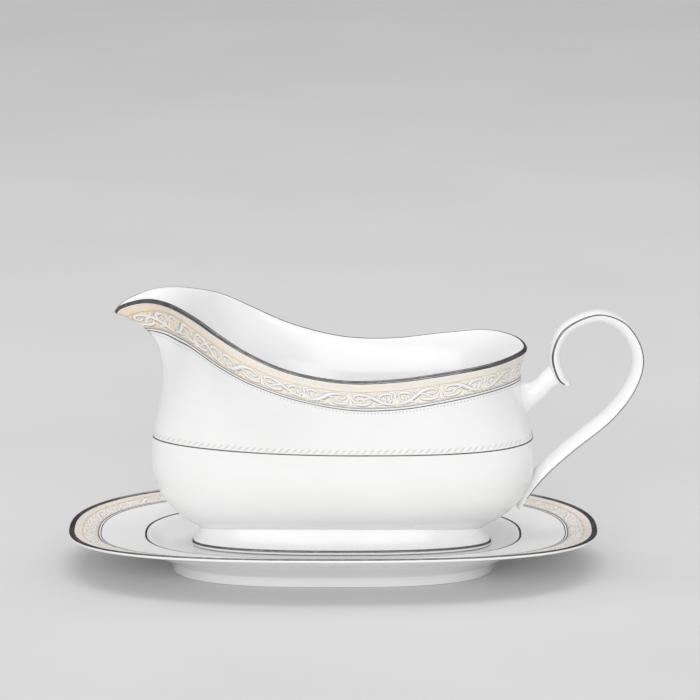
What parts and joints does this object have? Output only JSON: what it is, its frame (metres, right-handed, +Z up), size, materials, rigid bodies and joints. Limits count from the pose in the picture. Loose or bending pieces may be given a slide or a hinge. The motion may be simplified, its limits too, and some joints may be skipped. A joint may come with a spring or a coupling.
{
  "type": "sauce boat with stand",
  "caption": "White bone china sauce boat with a long pouring lip, scroll handle and oval foot, lifted off its oval stand, banded in platinum and beige scrollwork.",
  "frame": {"origin": "middle of the object's bounding box in X and Y, at the height of the face the stand rests on", "axes": "+X runs from the pouring lip to the handle, +Z is up, and the X-Z plane splits the boat and the stand into mirrored halves"},
  "size_m": [0.2578, 0.149, 0.1231],
  "materials": {
    "china": "glossy white bone china glaze",
    "platinum": "polished fired-on platinum",
    "frieze_enamel": "satin beige enamel with a raised white leaf scroll",
    "bead_enamel": "small grey fired dots",
    "rope_enamel": "faint pinkish beige rope marks"
  },
  "bodies": {
    "stand": {"stand_dish": "china", "stand_rim_platinum": "platinum", "stand_frieze": "frieze_enamel", "stand_hairline_outer": "platinum", "stand_hairline_inner": "platinum", "stand_well_line": "platinum"},
    "boat": {"boat_bowl": "china", "boat_foot": "china", "handle_strap": "china", "handle_stem": "china", "boat_rim_platinum": "platinum", "boat_frieze": "frieze_enamel", "boat_hairline_upper": "platinum", "boat_hairline_lower": "platinum", "boat_beading": "bead_enamel", "boat_rope_border": "rope_enamel", "boat_waist_line": "platinum", "boat_foot_platinum": "platinum", "handle_line_near": "platinum", "handle_line_far": "platinum"}
  },
  "joints": [
    {"name": "boat_lift", "type": "slide", "parent": "stand", "child": "boat", "axis": [0, 0, 1], "range_m": [0, 0.12]}
  ]
}
